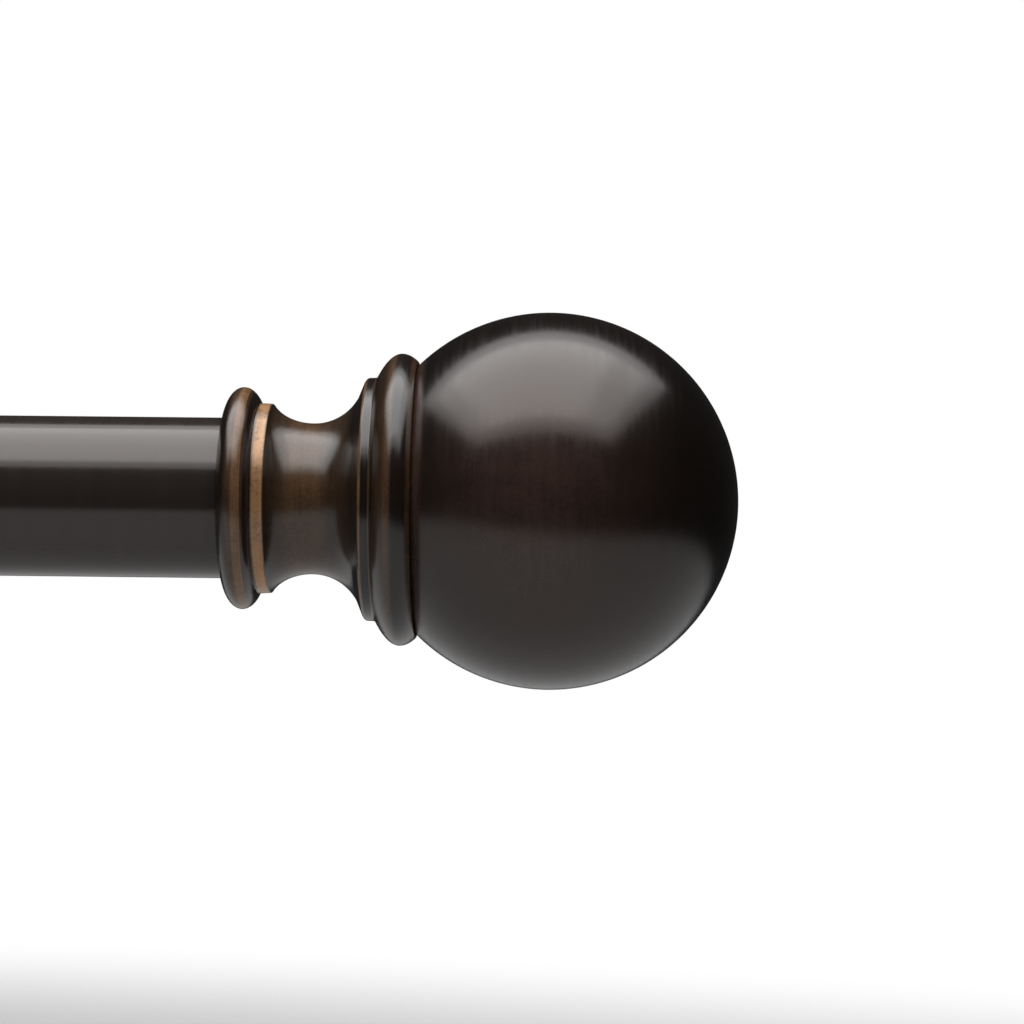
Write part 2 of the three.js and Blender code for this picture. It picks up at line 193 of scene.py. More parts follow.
def group_tree(name, inputs, outputs):
    tree = bpy.data.node_groups.new(name, "ShaderNodeTree")
    for label, kind, value in inputs:
        socket = tree.interface.new_socket(label, in_out="INPUT", socket_type="NodeSocket" + kind)
        if value is not None:
            socket.default_value = value
    for label, kind in outputs:
        tree.interface.new_socket(label, in_out="OUTPUT", socket_type="NodeSocket" + kind)
    return tree, tree.nodes.new("NodeGroupInput").outputs, tree.nodes.new("NodeGroupOutput").inputs


def use(tree, group, **inputs):
    node = add(tree, "Group", node_tree=group)
    for name, value in inputs.items():
        fill(tree, node.inputs[name.replace("_", " ")], value)
    return node.outputs


print("node helpers ready")

# %% [markdown]
# ## The studio
#
# Glossy dark paint is lit by what it reflects. One large soft box overhead draws the long highlight on the
# tube and the wide one on the ball, the dark room in front leaves the band below it, and the pale floor
# lifts the underside. A real soft box is brightest in the middle and dim at its rim, so it is made of
# three, one inside another. The backdrop is white for the camera only, so that it doesn't wash the paint
# out.

# %% Light the studio
LAMP_HEIGHT = 1.2
NEST = 0.01  # how far above or below the first box the others hang


def soft_box(name, sideways, away, height, radiance):
    """A rectangle facing down. sideways and away say where its edges are, from above the ball, in metres."""
    left, right = sideways
    front, back = away
    data = bpy.data.lights.new(name, "AREA")
    data.shape = "RECTANGLE"
    data.size, data.size_y = right - left, back - front
    data.energy = radiance * math.pi * data.size * data.size_y
    lamp = bpy.data.objects.new(name, data)
    lamp.location = ball_middle + Vector(((left + right) / 2, (front + back) / 2, height))
    lamp.visible_camera = False
    scene.collection.objects.link(lamp)
    print(name, round(data.size, 2), "by", round(data.size_y, 2), "m, radiance", radiance)


soft_box("soft_box", (-1.35, 0.95), (-0.98, 0.5), LAMP_HEIGHT, radiance=1.5)
soft_box("soft_box_middle", (-1.0, 0.5), (-0.98, 0.5), LAMP_HEIGHT - NEST, radiance=1.25)
soft_box("soft_box_spill", (-1.61, 1.2), (-1.38, 0.8), LAMP_HEIGHT + NEST, radiance=1.9)

# %% Paint the backdrop
WHITE = (1, 1, 1, 1)
ROOM_GLOW = 0.02

world = bpy.data.worlds.new("studio")
scene.world = world
world.use_nodes = True
sky = world.node_tree
sky.nodes.clear()
backdrop = add(sky, "Background", {"Color": WHITE}).outputs[0]
room = add(sky, "Background", {"Color": WHITE, "Strength": ROOM_GLOW}).outputs[0]
for_camera = add(sky, "LightPath").outputs["Is Camera Ray"]
add(sky, "OutputWorld", {"Surface": add(sky, "MixShader", {0: for_camera, 1: room, 2: backdrop}).outputs[0]})
scene.view_settings.view_transform = "Standard"
print("backdrop white, room glow", ROOM_GLOW)

# %% [markdown]
# ## Effects that several finishes share
#
# **Rub-through.** The finish is dark enamel wiped off the high spots to show copper. Where it is wiped is a
# property of the piece, so each mesh carries a number at every vertex, called rub, from 0 for whole paint
# to 1 for bare copper. The group turns it into a colour, and breaks its edge up so that it looks wiped by
# hand. Painting the mask by curvature in the shader is the usual shortcut, but it can't put a bright line
# on one fillet and leave the next one dark.
#
# **Turning marks.** A lathe and a polishing cloth leave faint rings. In a turned piece's own coordinates, Z
# is its axis, so noise squeezed along Z gives rings that follow every curve for nothing.
#
# **Flecks.** A few pinholes and dust specks under the enamel catch the eye in a close view.

# %% Rub-through
rub_through, given, result = group_tree(
    "RubThrough",
    [
        ("Vector", "Vector", None),
        ("Rub", "Float", 0.0),
        ("Paint", "Color", (0.02, 0.015, 0.012, 1)),
        ("Copper", "Color", (0.2, 0.1, 0.045, 1)),
        ("Patch", "Float", 0.5),
    ],
    [("Color", "Color"), ("Bare", "Float")],
)
streaks = noise(rub_through, stretched(rub_through, given["Vector"], 60, 60, 900), 1.0, 4.0, 0.6)
blots = noise(rub_through, given["Vector"], 260.0, 3.0, 0.55)
grain = noise(rub_through, given["Vector"], 1700.0, 2.0, 0.6)
mean = maths(rub_through, "MULTIPLY_ADD", grain, 0.8, maths(rub_through, "ADD", streaks, blots))
uneven = maths(rub_through, "SUBTRACT", mean, 1.4)
swing = maths(rub_through, "MULTIPLY_ADD", uneven, maths(rub_through, "MULTIPLY", given["Patch"], 3.0), 1.0)
bare = maths(rub_through, "MULTIPLY", given["Rub"], swing, clamp=True)
fill(rub_through, result["Color"], mix_colour(rub_through, bare, given["Paint"], given["Copper"]))
fill(rub_through, result["Bare"], bare)
print("RubThrough:", len(rub_through.nodes), "nodes")

# %% Turning marks
turning_marks, given, result = group_tree(
    "TurningMarks",
    [("Vector", "Vector", None), ("Rings", "Float", 2500.0), ("Wander", "Float", 60.0)],
    [("Rings", "Float"), ("Tone", "Float")],
)
split = add(turning_marks, "SeparateXYZ", {0: given["Vector"]}).outputs
squeezed = add(
    turning_marks,
    "CombineXYZ",
    {
        "X": maths(turning_marks, "MULTIPLY", split["X"], given["Wander"]),
        "Y": maths(turning_marks, "MULTIPLY", split["Y"], given["Wander"]),
        "Z": maths(turning_marks, "MULTIPLY", split["Z"], given["Rings"]),
    },
).outputs[0]
fill(turning_marks, result["Rings"], noise(turning_marks, squeezed, 1.0, 3.0, 0.6))
wide = stretched(turning_marks, squeezed, 0.35, 0.35, 0.22)
fill(turning_marks, result["Tone"], noise(turning_marks, wide, 1.0, 2.0, 0.5))
print("TurningMarks:", len(turning_marks.nodes), "nodes")

# %% Flecks
flecks, given, result = group_tree(
    "Flecks",
    [("Vector", "Vector", None), ("Spacing", "Float", 140.0), ("Size", "Float", 0.06)],
    [("Fleck", "Float")],
)
cells = add(flecks, "TexVoronoi", {"Vector": given["Vector"], "Scale": given["Spacing"]})
near = maths(flecks, "LESS_THAN", cells.outputs["Distance"], given["Size"])
pick = add(flecks, "SeparateColor", {0: cells.outputs["Color"]}).outputs[0]
few = maths(flecks, "GREATER_THAN", pick, 0.8)
fill(flecks, result["Fleck"], maths(flecks, "MULTIPLY", near, few))
print("Flecks:", len(flecks.nodes), "nodes")

# %% [markdown]
# ## The finishes
#
# Every finish is one Principled shader. Colour, roughness and the bump's height vary over the surface and
# come from the groups. Whatever is the same all over is a plain number on the shader's own socket.

# %% A blank finish


def finish_tree(name, **constants):
    material = bpy.data.materials.new(name)
    material.use_nodes = True
    tree = material.node_tree
    shader = tree.nodes["Principled BSDF"]
    for label, value in constants.items():
        shader.inputs[label.replace("_", " ")].default_value = value
    own = add(tree, "TexCoord").outputs["Object"]
    return material, tree, shader, own


def bump(tree, shader, height, distance):
    """distance is in metres, so these are bumps of a few thousandths of a millimetre."""
    inputs = {"Height": height, "Distance": distance}
    fill(tree, shader.inputs["Normal"], add(tree, "Bump", inputs).outputs["Normal"])


print("finish helpers ready")

# %% [markdown]
# The tubes are sprayed with a smooth, glossy dark bronze. Up close it isn't a flat colour: it has the faint
# rings and the slow change of tone that the wiping left, and a few flecks.

# %% Enamel on the tubes


def tube_enamel(name="tube_enamel", slide_wear=0.0):
    material, tree, shader, own = finish_tree(name, IOR=1.5, Specular_Tint=(1.0, 0.95, 0.93, 1))
    marks = use(tree, turning_marks, Vector=own, Rings=1400.0, Wander=45.0)
    paint = mix_colour(tree, marks["Tone"], (0.0165, 0.0126, 0.0112, 1), (0.0235, 0.0182, 0.0162, 1))
    fleck = use(tree, flecks, Vector=own, Spacing=150.0, Size=0.05)["Fleck"]
    colour = mix_colour(tree, maths(tree, "MULTIPLY", fleck, 0.5), paint, (0.05, 0.043, 0.038, 1))
    roughness = ramp(tree, marks["Rings"], 0.2, 0.8, 0.13, 0.19)
    if slide_wear:
        along = noise(tree, stretched(tree, own, 1500, 1500, 12), 1.0, 3.0, 0.6)
        scratch = maths(tree, "MULTIPLY", ramp(tree, along, 0.56, 0.74), slide_wear)
        colour = mix_colour(tree, scratch, colour, (0.11, 0.095, 0.085, 1))
        roughness = maths(tree, "MULTIPLY_ADD", scratch, 0.15, roughness)
    fill(tree, shader.inputs["Base Color"], colour)
    fill(tree, shader.inputs["Roughness"], roughness)
    bump(tree, shader, marks["Rings"], 0.0000015)
    return material


outer_enamel = tube_enamel()
inner_enamel = tube_enamel("tube_enamel_slid", slide_wear=0.6)
print("finishes:", outer_enamel.name, inner_enamel.name)

# %% [markdown]
# The finials and the brackets share a second finish: the same dark bronze, wiped through to copper. The
# copper is a metallic lacquer, so it keeps much of its own colour away from the highlight, with only a
# little metal in it.

# %% Wiped bronze


def wiped_bronze(name, paint_dark, paint_light, copper, gloss, metal, patch, rings, glint=(1, 1, 1, 1)):
    material, tree, shader, own = finish_tree(name, IOR=1.5, Specular_Tint=glint)
    marks = use(tree, turning_marks, Vector=own, Rings=rings, Wander=70.0)
    paint = mix_colour(tree, marks["Tone"], paint_dark, paint_light)
    rub = add(tree, "Attribute", attribute_name="rub").outputs["Fac"]
    worn = use(tree, rub_through, Vector=own, Rub=rub, Paint=paint, Copper=copper, Patch=patch)
    fleck = use(tree, flecks, Vector=own, Spacing=130.0, Size=0.07)["Fleck"]
    colour = mix_colour(tree, maths(tree, "MULTIPLY", fleck, 0.35), worn["Color"], (0.06, 0.047, 0.037, 1))
    fill(tree, shader.inputs["Base Color"], colour)
    even = ramp(tree, marks["Rings"], 0.2, 0.8, gloss - 0.03, gloss + 0.05)
    fill(tree, shader.inputs["Roughness"], maths(tree, "MULTIPLY_ADD", worn["Bare"], 0.12, even))
    fill(tree, shader.inputs["Metallic"], maths(tree, "MULTIPLY", worn["Bare"], metal, clamp=True))
    height = maths(tree, "SUBTRACT", marks["Rings"], maths(tree, "MULTIPLY", worn["Bare"], 0.8))
    bump(tree, shader, height, 0.000006)
    return material


neck_bronze = wiped_bronze(
    "neck_bronze",
    paint_dark=(0.0058, 0.0033, 0.0024, 1),
    paint_light=(0.0105, 0.0062, 0.0044, 1),
    copper=(0.34, 0.183, 0.085, 1),
    gloss=0.2,
    metal=0.25,
    patch=0.42,
    rings=2200.0,
)
ball_bronze = wiped_bronze(
    "ball_bronze",
    paint_dark=(0.0022, 0.0015, 0.0012, 1),
    paint_light=(0.0048, 0.0034, 0.0026, 1),
    copper=(0.21, 0.115, 0.09, 1),
    gloss=0.19,
    metal=0.2,
    patch=0.3,
    rings=1500.0,
    glint=(1.0, 0.92, 0.89, 1),
)
bracket_bronze = wiped_bronze(
    "bracket_bronze",
    paint_dark=(0.0075, 0.0055, 0.0045, 1),
    paint_light=(0.0135, 0.01, 0.008, 1),
    copper=(0.26, 0.137, 0.062, 1),
    gloss=0.24,
    metal=0.45,
    patch=0.5,
    rings=1800.0,
)
print("finishes:", neck_bronze.name, ball_bronze.name, bracket_bronze.name)

# %% [markdown]
# What doesn't show in use is plain: zinc-plated steel for screws, plates and inserts, black nylon where
# something slides, and a pale nylon for the wall anchors.

# %% Steel and nylon


def zinc_plate():
    material, tree, shader, own = finish_tree("zinc_plate", Metallic=1.0)
    cloud = noise(tree, own, 320.0, 4.0, 0.6)
    brushed = noise(tree, stretched(tree, own, 3000, 300, 3000), 1.0, 2.0)
    colour = mix_colour(tree, cloud, (0.40, 0.40, 0.40, 1), (0.62, 0.60, 0.55, 1))
    fill(tree, shader.inputs["Base Color"], colour)
    fill(tree, shader.inputs["Roughness"], ramp(tree, brushed, 0.2, 0.8, 0.28, 0.45))
    bump(tree, shader, brushed, 0.000004)
    return material


def moulded_nylon(name, dark, light, roughness):
    material, tree, shader, own = finish_tree(name, IOR=1.53)
    mottle = noise(tree, own, 500.0, 3.0)
    grain = noise(tree, own, 5200.0, 2.0)
    fill(tree, shader.inputs["Base Color"], mix_colour(tree, mottle, dark, light))
    fill(tree, shader.inputs["Roughness"], ramp(tree, grain, 0.2, 0.8, roughness - 0.06, roughness + 0.08))
    bump(tree, shader, grain, 0.000012)
    return material


zinc = zinc_plate()
black_nylon = moulded_nylon("black_nylon", (0.008, 0.0075, 0.007, 1), (0.016, 0.014, 0.013, 1), 0.5)
anchor_nylon = moulded_nylon("anchor_nylon", (0.42, 0.39, 0.33, 1), (0.52, 0.49, 0.42, 1), 0.55)
print("finishes:", zinc.name, black_nylon.name, anchor_nylon.name)

# %% [markdown]
# ## Drawing a profile
#
# A turned piece is a profile revolved about an axis: a list of (along, radius) points. Blender's Screw
# modifier could revolve it, but building the mesh in code gives each ring its own radius round the axis as
# well, which is what knurling, ribs and screw threads need. The profile is drawn with straight runs and
# arcs, and then every hard corner is rounded, because a real edge always catches a line of light.

# %% Curves for profiles


def arc(centre, radii, start, end, steps=24):
    """A stretch of ellipse, from one angle to another in degrees."""
    angles = np.radians(np.linspace(start, end, steps + 1))
    along = centre[0] + radii[0] * np.cos(angles)
    radius = centre[1] + radii[1] * np.sin(angles)
    return list(zip(along, radius))


def bead(crest, drop, start, end, steps):
    """A stretch of parabola that falls away on each side of its crest."""
    away = np.linspace(start, end, steps + 1)
    return list(zip(crest[0] + away, crest[1] - drop * away**2))


def bar(start, end, radius):
    """A plain cylinder, ends and all."""
    return [(start, 0), (start, radius), (end, radius), (end, 0)]


def run(start, end, radius, step):
    """A straight run cut into steps, for what changes along it."""
    count = max(1, round(abs(end - start) / step))
    return [(a, radius) for a in np.linspace(start, end, count + 1)]


def fine(points, step):
    """Cuts long stretches into short ones, so that a number written at the vertices can change along them."""
    made = []
    for first, second in zip(points, points[1:]):
        count = max(1, math.ceil(math.dist(first, second) / step))
        made += [tuple(Vector(first).lerp(Vector(second), k / count)) for k in range(count)]
    return made + [tuple(points[-1])]


SMOOTH_TURN = math.radians(15)
SHARPEST_TURN = 2.4


def rounded(points, radius, ring, steps=4):
    """Rounds each corner that turns by more than SMOOTH_TURN; smooth stretches stay as they are."""
    points = [Vector(p) for p in points]
    count = len(points)
    made = []
    for i, corner in enumerate(points):
        at_end = not ring and i in (0, count - 1)
        before, after = corner - points[i - 1], points[(i + 1) % count] - corner
        turn = 0.0 if at_end or not before.length or not after.length else before.angle(after)
        if turn < SMOOTH_TURN:
            made.append(tuple(corner))
            continue
        back = radius * math.tan(min(turn, SHARPEST_TURN) / 2)
        back = min(back, 0.45 * before.length, 0.45 * after.length)
        start, end = corner - before.normalized() * back, corner + after.normalized() * back
        for k in range(steps + 1):
            t = k / steps
            made.append(tuple(start * (1 - t) ** 2 + corner * 2 * t * (1 - t) + end * t**2))
    return made


print("profile helpers ready")

# %% [markdown]
# ## Revolving it
#
# The piece's own Z runs along its axis, and the object is turned to point that way. Vertex normals are
# shared so that the curves are smooth, and edges over 40 degrees stay sharp.

# %% Build a turned mesh


def pointing(origin, direction):
    """The placement of a piece whose own Z points along direction from origin."""
    return Matrix.Translation(origin) @ direction.to_track_quat("Z", "Y").to_matrix().to_4x4()


def mesh_object(name, vertices, faces, placement):
    mesh = bpy.data.meshes.new(name)
    mesh.from_pydata(vertices, [], faces)
    piece = bpy.data.objects.new(name, mesh)
    piece.matrix_world = placement
    scene.collection.objects.link(piece)
    tidy(piece)
    return piece


def tidy(piece, sharp=40):
    """Merges doubled vertices, points every face outwards and sets smooth shading with sharp edges."""
    body = bmesh.new()
    body.from_mesh(piece.data)
    bmesh.ops.remove_doubles(body, verts=body.verts, dist=1e-7)
    bmesh.ops.recalc_face_normals(body, faces=body.faces)
    body.to_mesh(piece.data)
    body.free()
    piece.data.shade_smooth()
    piece.data.set_sharp_from_angle(angle=math.radians(sharp))


def turned(name, profile, placement, sides=96, ring=True, shape=None):
    """Revolves profile. ring says that it closes on itself; otherwise it starts and ends on the axis.
    shape(along, radius, angle), in millimetres and radians, may give each vertex another radius."""
    angles = np.linspace(0, 2 * math.pi, sides, endpoint=False)
    vertices, rows = [], []
    for along, radius in profile:
        if radius < 1e-6:
            rows.append([len(vertices)])
            vertices.append((0, 0, along * MM))
            continue
        radii = np.full(sides, radius) if shape is None else shape(along, radius, angles)
        rows.append(list(range(len(vertices), len(vertices) + sides)))
        x, y = radii * np.cos(angles) * MM, radii * np.sin(angles) * MM
        vertices += list(zip(x, y, np.full(sides, along * MM)))
    pairs = list(zip(rows, rows[1:] + rows[:1])) if ring else list(zip(rows, rows[1:]))
    faces = []
    for first, second in pairs:
        for i in range(sides):
            j = (i + 1) % sides
            here = [first[i % len(first)], first[j % len(first)]]
            there = [second[j % len(second)], second[i % len(second)]]
            kept = list(dict.fromkeys(here + there))
            if len(kept) > 2:
                faces.append(kept)
    return mesh_object(name, vertices, faces, placement)


def cut(piece, *cutters):
    """Cuts the cutters out of piece and deletes them."""
    for cutter in cutters:
        modifier = piece.modifiers.new("cut", "BOOLEAN")
        modifier.operation = "DIFFERENCE"
        modifier.solver = "EXACT"
        modifier.object = cutter
    apply_modifiers(piece)
    for cutter in cutters:
        bpy.data.objects.remove(cutter)
    tidy(piece, 30)
    return piece


def apply_modifiers(piece):
    bpy.context.view_layer.update()
    shaped = bpy.data.meshes.new_from_object(piece.evaluated_get(bpy.context.evaluated_depsgraph_get()))
    piece.modifiers.clear()
    piece.data = shaped


print("mesh helpers ready")

# %% [markdown]
# ## Where the paint is rubbed
#
# Two ways to fill the rub number. A turned piece with a known pattern gets a function of its profile:
# windows placed along it. Anything else is worn by its shape: a vertex that stands proud of its neighbours
# is on an outside edge, and edges are what a hand and a cloth reach.

# %% Write the rub number


def write_rub(piece, values):
    layer = piece.data.attributes.new("rub", "FLOAT", "POINT")
    layer.data.foreach_set("value", np.clip(values, 0, 1).astype(np.float32))


def own_points(piece):
    """The vertices in millimetres, in the piece's own coordinates."""
    flat = np.empty(len(piece.data.vertices) * 3, np.float32)
    piece.data.vertices.foreach_get("co", flat)
    return flat.reshape(-1, 3) / MM


def window(along, start, end, soft=0.25):
    """1 between start and end, falling smoothly to 0 over soft on each side."""
    rise = np.clip((along - start) / soft + 0.5, 0, 1)
    fall = np.clip((end - along) / soft + 0.5, 0, 1)
    level = np.minimum(rise, fall)
    return level * level * (3 - 2 * level)


def rub_edges(piece, gain, spread=2, base=0.0):
    """Rubs the outside edges by how far each vertex stands proud of its neighbours. base is added to that."""
    mesh = piece.data
    points = own_points(piece)
    normals = np.empty(len(points) * 3, np.float32)
    mesh.vertices.foreach_get("normal", normals)
    normals = normals.reshape(-1, 3)
    ends = np.empty(len(mesh.edges) * 2, np.int32)
    mesh.edges.foreach_get("vertices", ends)
    a, b = ends.reshape(-1, 2).T
    apart = points[b] - points[a]
    apart /= np.maximum(np.linalg.norm(apart, axis=1, keepdims=True), 1e-9)
    proud, count = np.zeros(len(points)), np.zeros(len(points))
    np.add.at(proud, a, -(apart * normals[a]).sum(1))
    np.add.at(proud, b, (apart * normals[b]).sum(1))
    np.add.at(count, a, 1)
    np.add.at(count, b, 1)
    proud = np.clip(proud / np.maximum(count, 1), 0, None)
    for _ in range(spread):
        total = proud.copy()
        np.add.at(total, a, proud[b])
        np.add.at(total, b, proud[a])
        proud = 0.5 * proud + 0.5 * total / (count + 1)
    write_rub(piece, base + gain * proud)


print("rub helpers ready")

# %% [markdown]
# ## Setting a piece on the model
#
# Each piece rides on a body, stands for the plain model part that it replaces, and gets its finish.


def install(piece, body, material, node):
    piece.data.materials.clear()
    piece.data.materials.append(material)
    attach(piece, body)
    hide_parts(node)


# %% [markdown]
# ## The tubes
#
# The large tube is a full inch across. The small one slides out of it to set the length, and years of that
# leave fine scratches along it. Both are revolved from a rectangle whose corners are broken as a tube
# cutter leaves them.

# %% Two tubes


def rod_piece(name, profile, body, material, node, **more):
    """A piece on the rod's axis, whose along is measured from the middle of the frame towards +X."""
    origin = Vector((0, rod_axis.y, rod_axis.z))
    install(turned(name, profile, pointing(origin, OUTWARDS["right"]), **more), body, material, node)


def tube_profile(start, end, bore, radius, corner=0.25):
    return rounded([(start, bore), (start, radius), (end, radius), (end, bore)], corner, ring=True)


TUBE_WALL = 0.7
INNER_RADIUS = 11.1
for name, body, material, node, radius, sides in (
    ("tube_large", "rod", outer_enamel, "outer_tube", TUBE_RADIUS, 160),
    ("tube_small", "inner_rod", inner_enamel, "inner_tube", INNER_RADIUS, 144),
):
    start, end = extent(node, 0)
    rod_piece(name, tube_profile(start, end, radius - TUBE_WALL, radius), body, material, node, sides=sides)
    print(name, round(end - start, 1), "mm long")

# %% [markdown]
# ## What the tubes slide and screw on
#
# A nylon bush in the large tube's mouth carries the small one, and a glide plug on its hidden end keeps it
# central. Each tube has a threaded insert for its finial. The left finial is bored for the large tube, so a
# reducer ring fills it round the small one.

# %% Bush and glide plug
BUSH_BORE, BUSH_LIP = 11.3, 1.3
PLUG_BORE, PLUG_BODY, PLUG_FLANGE, FLANGE_LENGTH = 8.6, 10.3, 11.8, 5.85

start, end = extent("mouth_bush", 0)
bush = [
    (start, BUSH_BORE), (start, TUBE_RADIUS), (start + BUSH_LIP, TUBE_RADIUS), (start + BUSH_LIP, 11.9),
    (end, 11.85), (end, BUSH_BORE),
]
rod_piece("bush", rounded(bush, 0.35, ring=True), "rod", black_nylon, "mouth_bush")

start, end = extent("glide_plug", 0)
flange = end - FLANGE_LENGTH
plug = [
    (start, PLUG_BORE), (start, PLUG_BODY), (flange, PLUG_BODY), (flange, PLUG_FLANGE), (end, PLUG_FLANGE),
    (end, PLUG_BORE),
]


def plug_flutes(along, radius, angle):
    """Six flats round the flange let the air past as the tube slides."""
    if radius < 11:
        return np.full(len(angle), radius)
    return radius - 0.5 * np.clip(np.cos(6 * angle) - 0.6, 0, 1)


plug = rounded(plug, 0.4, ring=True)
rod_piece("glide", plug, "inner_rod", black_nylon, "glide_plug", shape=plug_flutes)
print("bush and plug made")

# %% Reducer ring and end inserts
start, end = extent("reducer_ring", 0)
ring = tube_profile(start, end, INNER_RADIUS + 0.1, TUBE_RADIUS, 0.3)
rod_piece("reducer", ring, "inner_rod", black_nylon, "reducer_ring")


def insert_profile(face, inside, radius):
    """A plug with a waist, drilled through; step is a twenty-fifth of its length."""
    step = (inside - face) / 25
    hole = 3.15
    return rounded(
        [
            (face, hole + 0.6), (face, radius), (face + 7.5 * step, radius), (face + 9 * step, radius - 1.1),
            (face + 16 * step, radius - 1.1), (face + 17.5 * step, radius), (inside, radius), (inside, hole),
            (face + 0.8 * step, hole),
        ],
        0.3,
        ring=True,
    )


def fluted(along, radius, angle):
    """Fine straight knurling on what is pressed into a tube."""
    return radius - 0.12 * (0.5 + 0.5 * np.cos(48 * angle)) if radius > 8 else np.full(len(angle), radius)


for side, body, radius in (("right", "rod", TUBE_RADIUS), ("left", "inner_rod", INNER_RADIUS)):
    low, high = extent(f"end_insert_{side}", 0)
    face, inside = (high, low) if side == "right" else (low, high)
    profile = insert_profile(face, inside, radius - TUBE_WALL - 0.1)
    rod_piece(f"insert_{side}", profile, body, zinc, f"end_insert_{side}", sides=192, shape=fluted)
print("reducer and inserts made")

# %% [markdown]
# ## The finial's neck
#
# This is the piece that the whole object is judged by. From the tube outwards it has a half-round bead with
# a crisp lip, a flat fillet, a long cove, a step up to a second fillet with sharp arrises, and a large bead
# that cups the ball. Each curve is its own arc of an ellipse, because a cove cut by hand is steeper at one
# end than at the other.
#
# Its rubbing pattern is deliberate too: the first fillet is nearly all copper, the small bead has a copper
# band on its crest, the cove is brown at the waist and dark in its ends, the second fillet shows copper
# only on its two arrises, and the large bead has one copper line just short of its crest.

# %% Draw the neck
SOCKET_FLOOR = 6.2
SOCKET_MOUTH = 0.84
SEAT_RADIUS = 30.0


def neck_profile():
    socket, stud_hole = 12.9, 3.3
    small_bead, large_bead = (3.66, 12.83), (28.62, 23.05)
    waist, waist_radius = 14.7, 11.93

    def seat_angle(radius):
        return 180 - math.degrees(math.asin(radius / SEAT_RADIUS))

    outside = [
        *arc(small_bead, (2.82, 4.72), 177, 90),
        *arc(small_bead, (2.97, 4.72), 86, 28, 20),
        (6.45, 15.05), (8.02, 14.97),
        *arc((waist, waist_radius + 5.06), (7.08, -5.06), 156, 90),
        *arc((waist + 0.05, waist_radius + 8.72), (8.3, -8.72), 87, 30.5, 30),
        (22.88, 18.6), (23.1, 18.96), (23.42, 19.18), (24.62, 19.22),
        *bead(large_bead, 0.255, -3.8, 0, 20),
        *bead(large_bead, 0.195, 0.15, 2.5, 14),
    ]
    seat = arc((BALL_CENTRE, 0), (SEAT_RADIUS, SEAT_RADIUS), seat_angle(21.6), seat_angle(12.6), 12)
    cup = seat[-1][0] - 0.3
    inside = [
        (cup, 12.6), (cup, stud_hole),
        (SOCKET_FLOOR, stud_hole), (SOCKET_FLOOR, socket), (SOCKET_MOUTH, socket),
    ]
    whole = rounded([*outside, *seat, *inside], 0.35, ring=True)
    shown = next(i for i, point in enumerate(whole) if point[0] > seat[2][0] and point[1] < seat[2][1] + 0.01)
    return fine(whole[:shown], 0.16) + whole[shown:]


print("neck drawn with", len(neck_profile()), "points")

# %% Turn the necks and rub them
NECK_RUB = (  # strength, and the window's start, end and softness along the axis
    (0.10, 2.6, 3.8, 0.9),  # the small bead before its crest
    (0.36, 3.75, 4.85, 0.6),  # the band on its crest
    (0.22, 4.8, 4.97, 0.14),  # the band's far edge, wiped hardest
    (0.08, 4.9, 5.4, 0.4),
    (0.86, 6.5, 8.15, 0.45),  # the first fillet
    (0.10, 11.2, 17.0, 3.4),  # the cove's waist
    (0.05, 8.6, 21.0, 1.5),  # the rest of the cove
    (0.30, 23.08, 23.44, 0.26),  # the second fillet's two arrises
    (0.12, 24.6, 24.95, 0.3),
    (0.05, 25.6, 27.2, 1.0),  # the large bead before its line
    (0.13, 27.1, 28.1, 0.8),  # its line, just short of the crest
    (0.10, 30.5, 31.2, 0.6),  # its lip against the ball
)
SOCKET_SIDE = 11.5  # a smaller radius than this is inside the neck, where nothing rubs


def rub_neck(piece):
    points = own_points(piece)
    along, radius = points[:, 2], np.hypot(points[:, 0], points[:, 1])
    pattern = sum(strength * window(along, *span) for strength, *span in NECK_RUB)
    write_rub(piece, pattern * (radius > SOCKET_SIDE))


for side in SIDES:
    neck = turned(f"neck_{side}", neck_profile(), pointing(shoulder[side], OUTWARDS[side]), sides=192)
    rub_neck(neck)
    install(neck, f"finial_neck_{side}", neck_bronze, f"finial_neck_{side}")
    print(neck.name, len(neck.data.polygons), "faces")

# %% [markdown]
# ## The ball
#
# A true sphere, spun from sheet and hollow, open only where its boss is brazed in behind the bead. A UV
# sphere would do for the outside, but the profile gives it a wall and a mouth as well. It is nearly all
# paint, so the rub number is low and uneven. The warm patch on the side that faces out into the room is
# partly the cloth's wiping and partly a painted reflection of the dim room in front, and the faint copper
# band next to the neck is a painted reflection of the neck's large bead.

# %% Draw the ball
BALL_WALL = 1.5
BALL_MOUTH = 12.0


def ball_profile():
    inner = BALL_RADIUS - BALL_WALL
    outer_mouth = 180 - math.degrees(math.asin(BALL_MOUTH / BALL_RADIUS))
    inner_mouth = 180 - math.degrees(math.asin(BALL_MOUTH / inner))
    outside = arc((BALL_CENTRE, 0), (BALL_RADIUS, BALL_RADIUS), 0, outer_mouth, 150)
    inside = arc((BALL_CENTRE, 0), (inner, inner), inner_mouth, 0, 30)
    outside[0] = (BALL_CENTRE + BALL_RADIUS, 0.0)
    inside[-1] = (BALL_CENTRE + inner, 0.0)
    return outside + inside


print("ball drawn with", len(ball_profile()), "points")

# %% Rub the balls and paint their reflections
WARM_WIPING_AND_ROOM_REFLECTION = (  # direction from the ball's middle, with the finial pointing right, and strength
    # the first patch, on the side facing the room and the camera, is partly uneven wiping and partly a
    # painted reflection of the dim room in front; the others are uneven wiping
    ((-0.08, -1.0, 0.1), 0.12),
    ((-0.05, -0.72, -0.6), 0.05),
    ((0.15, 0.6, 0.8), 0.11),
    ((0.1, 0.75, -0.65), 0.09),
)
PATCH_SPREAD = 0.36


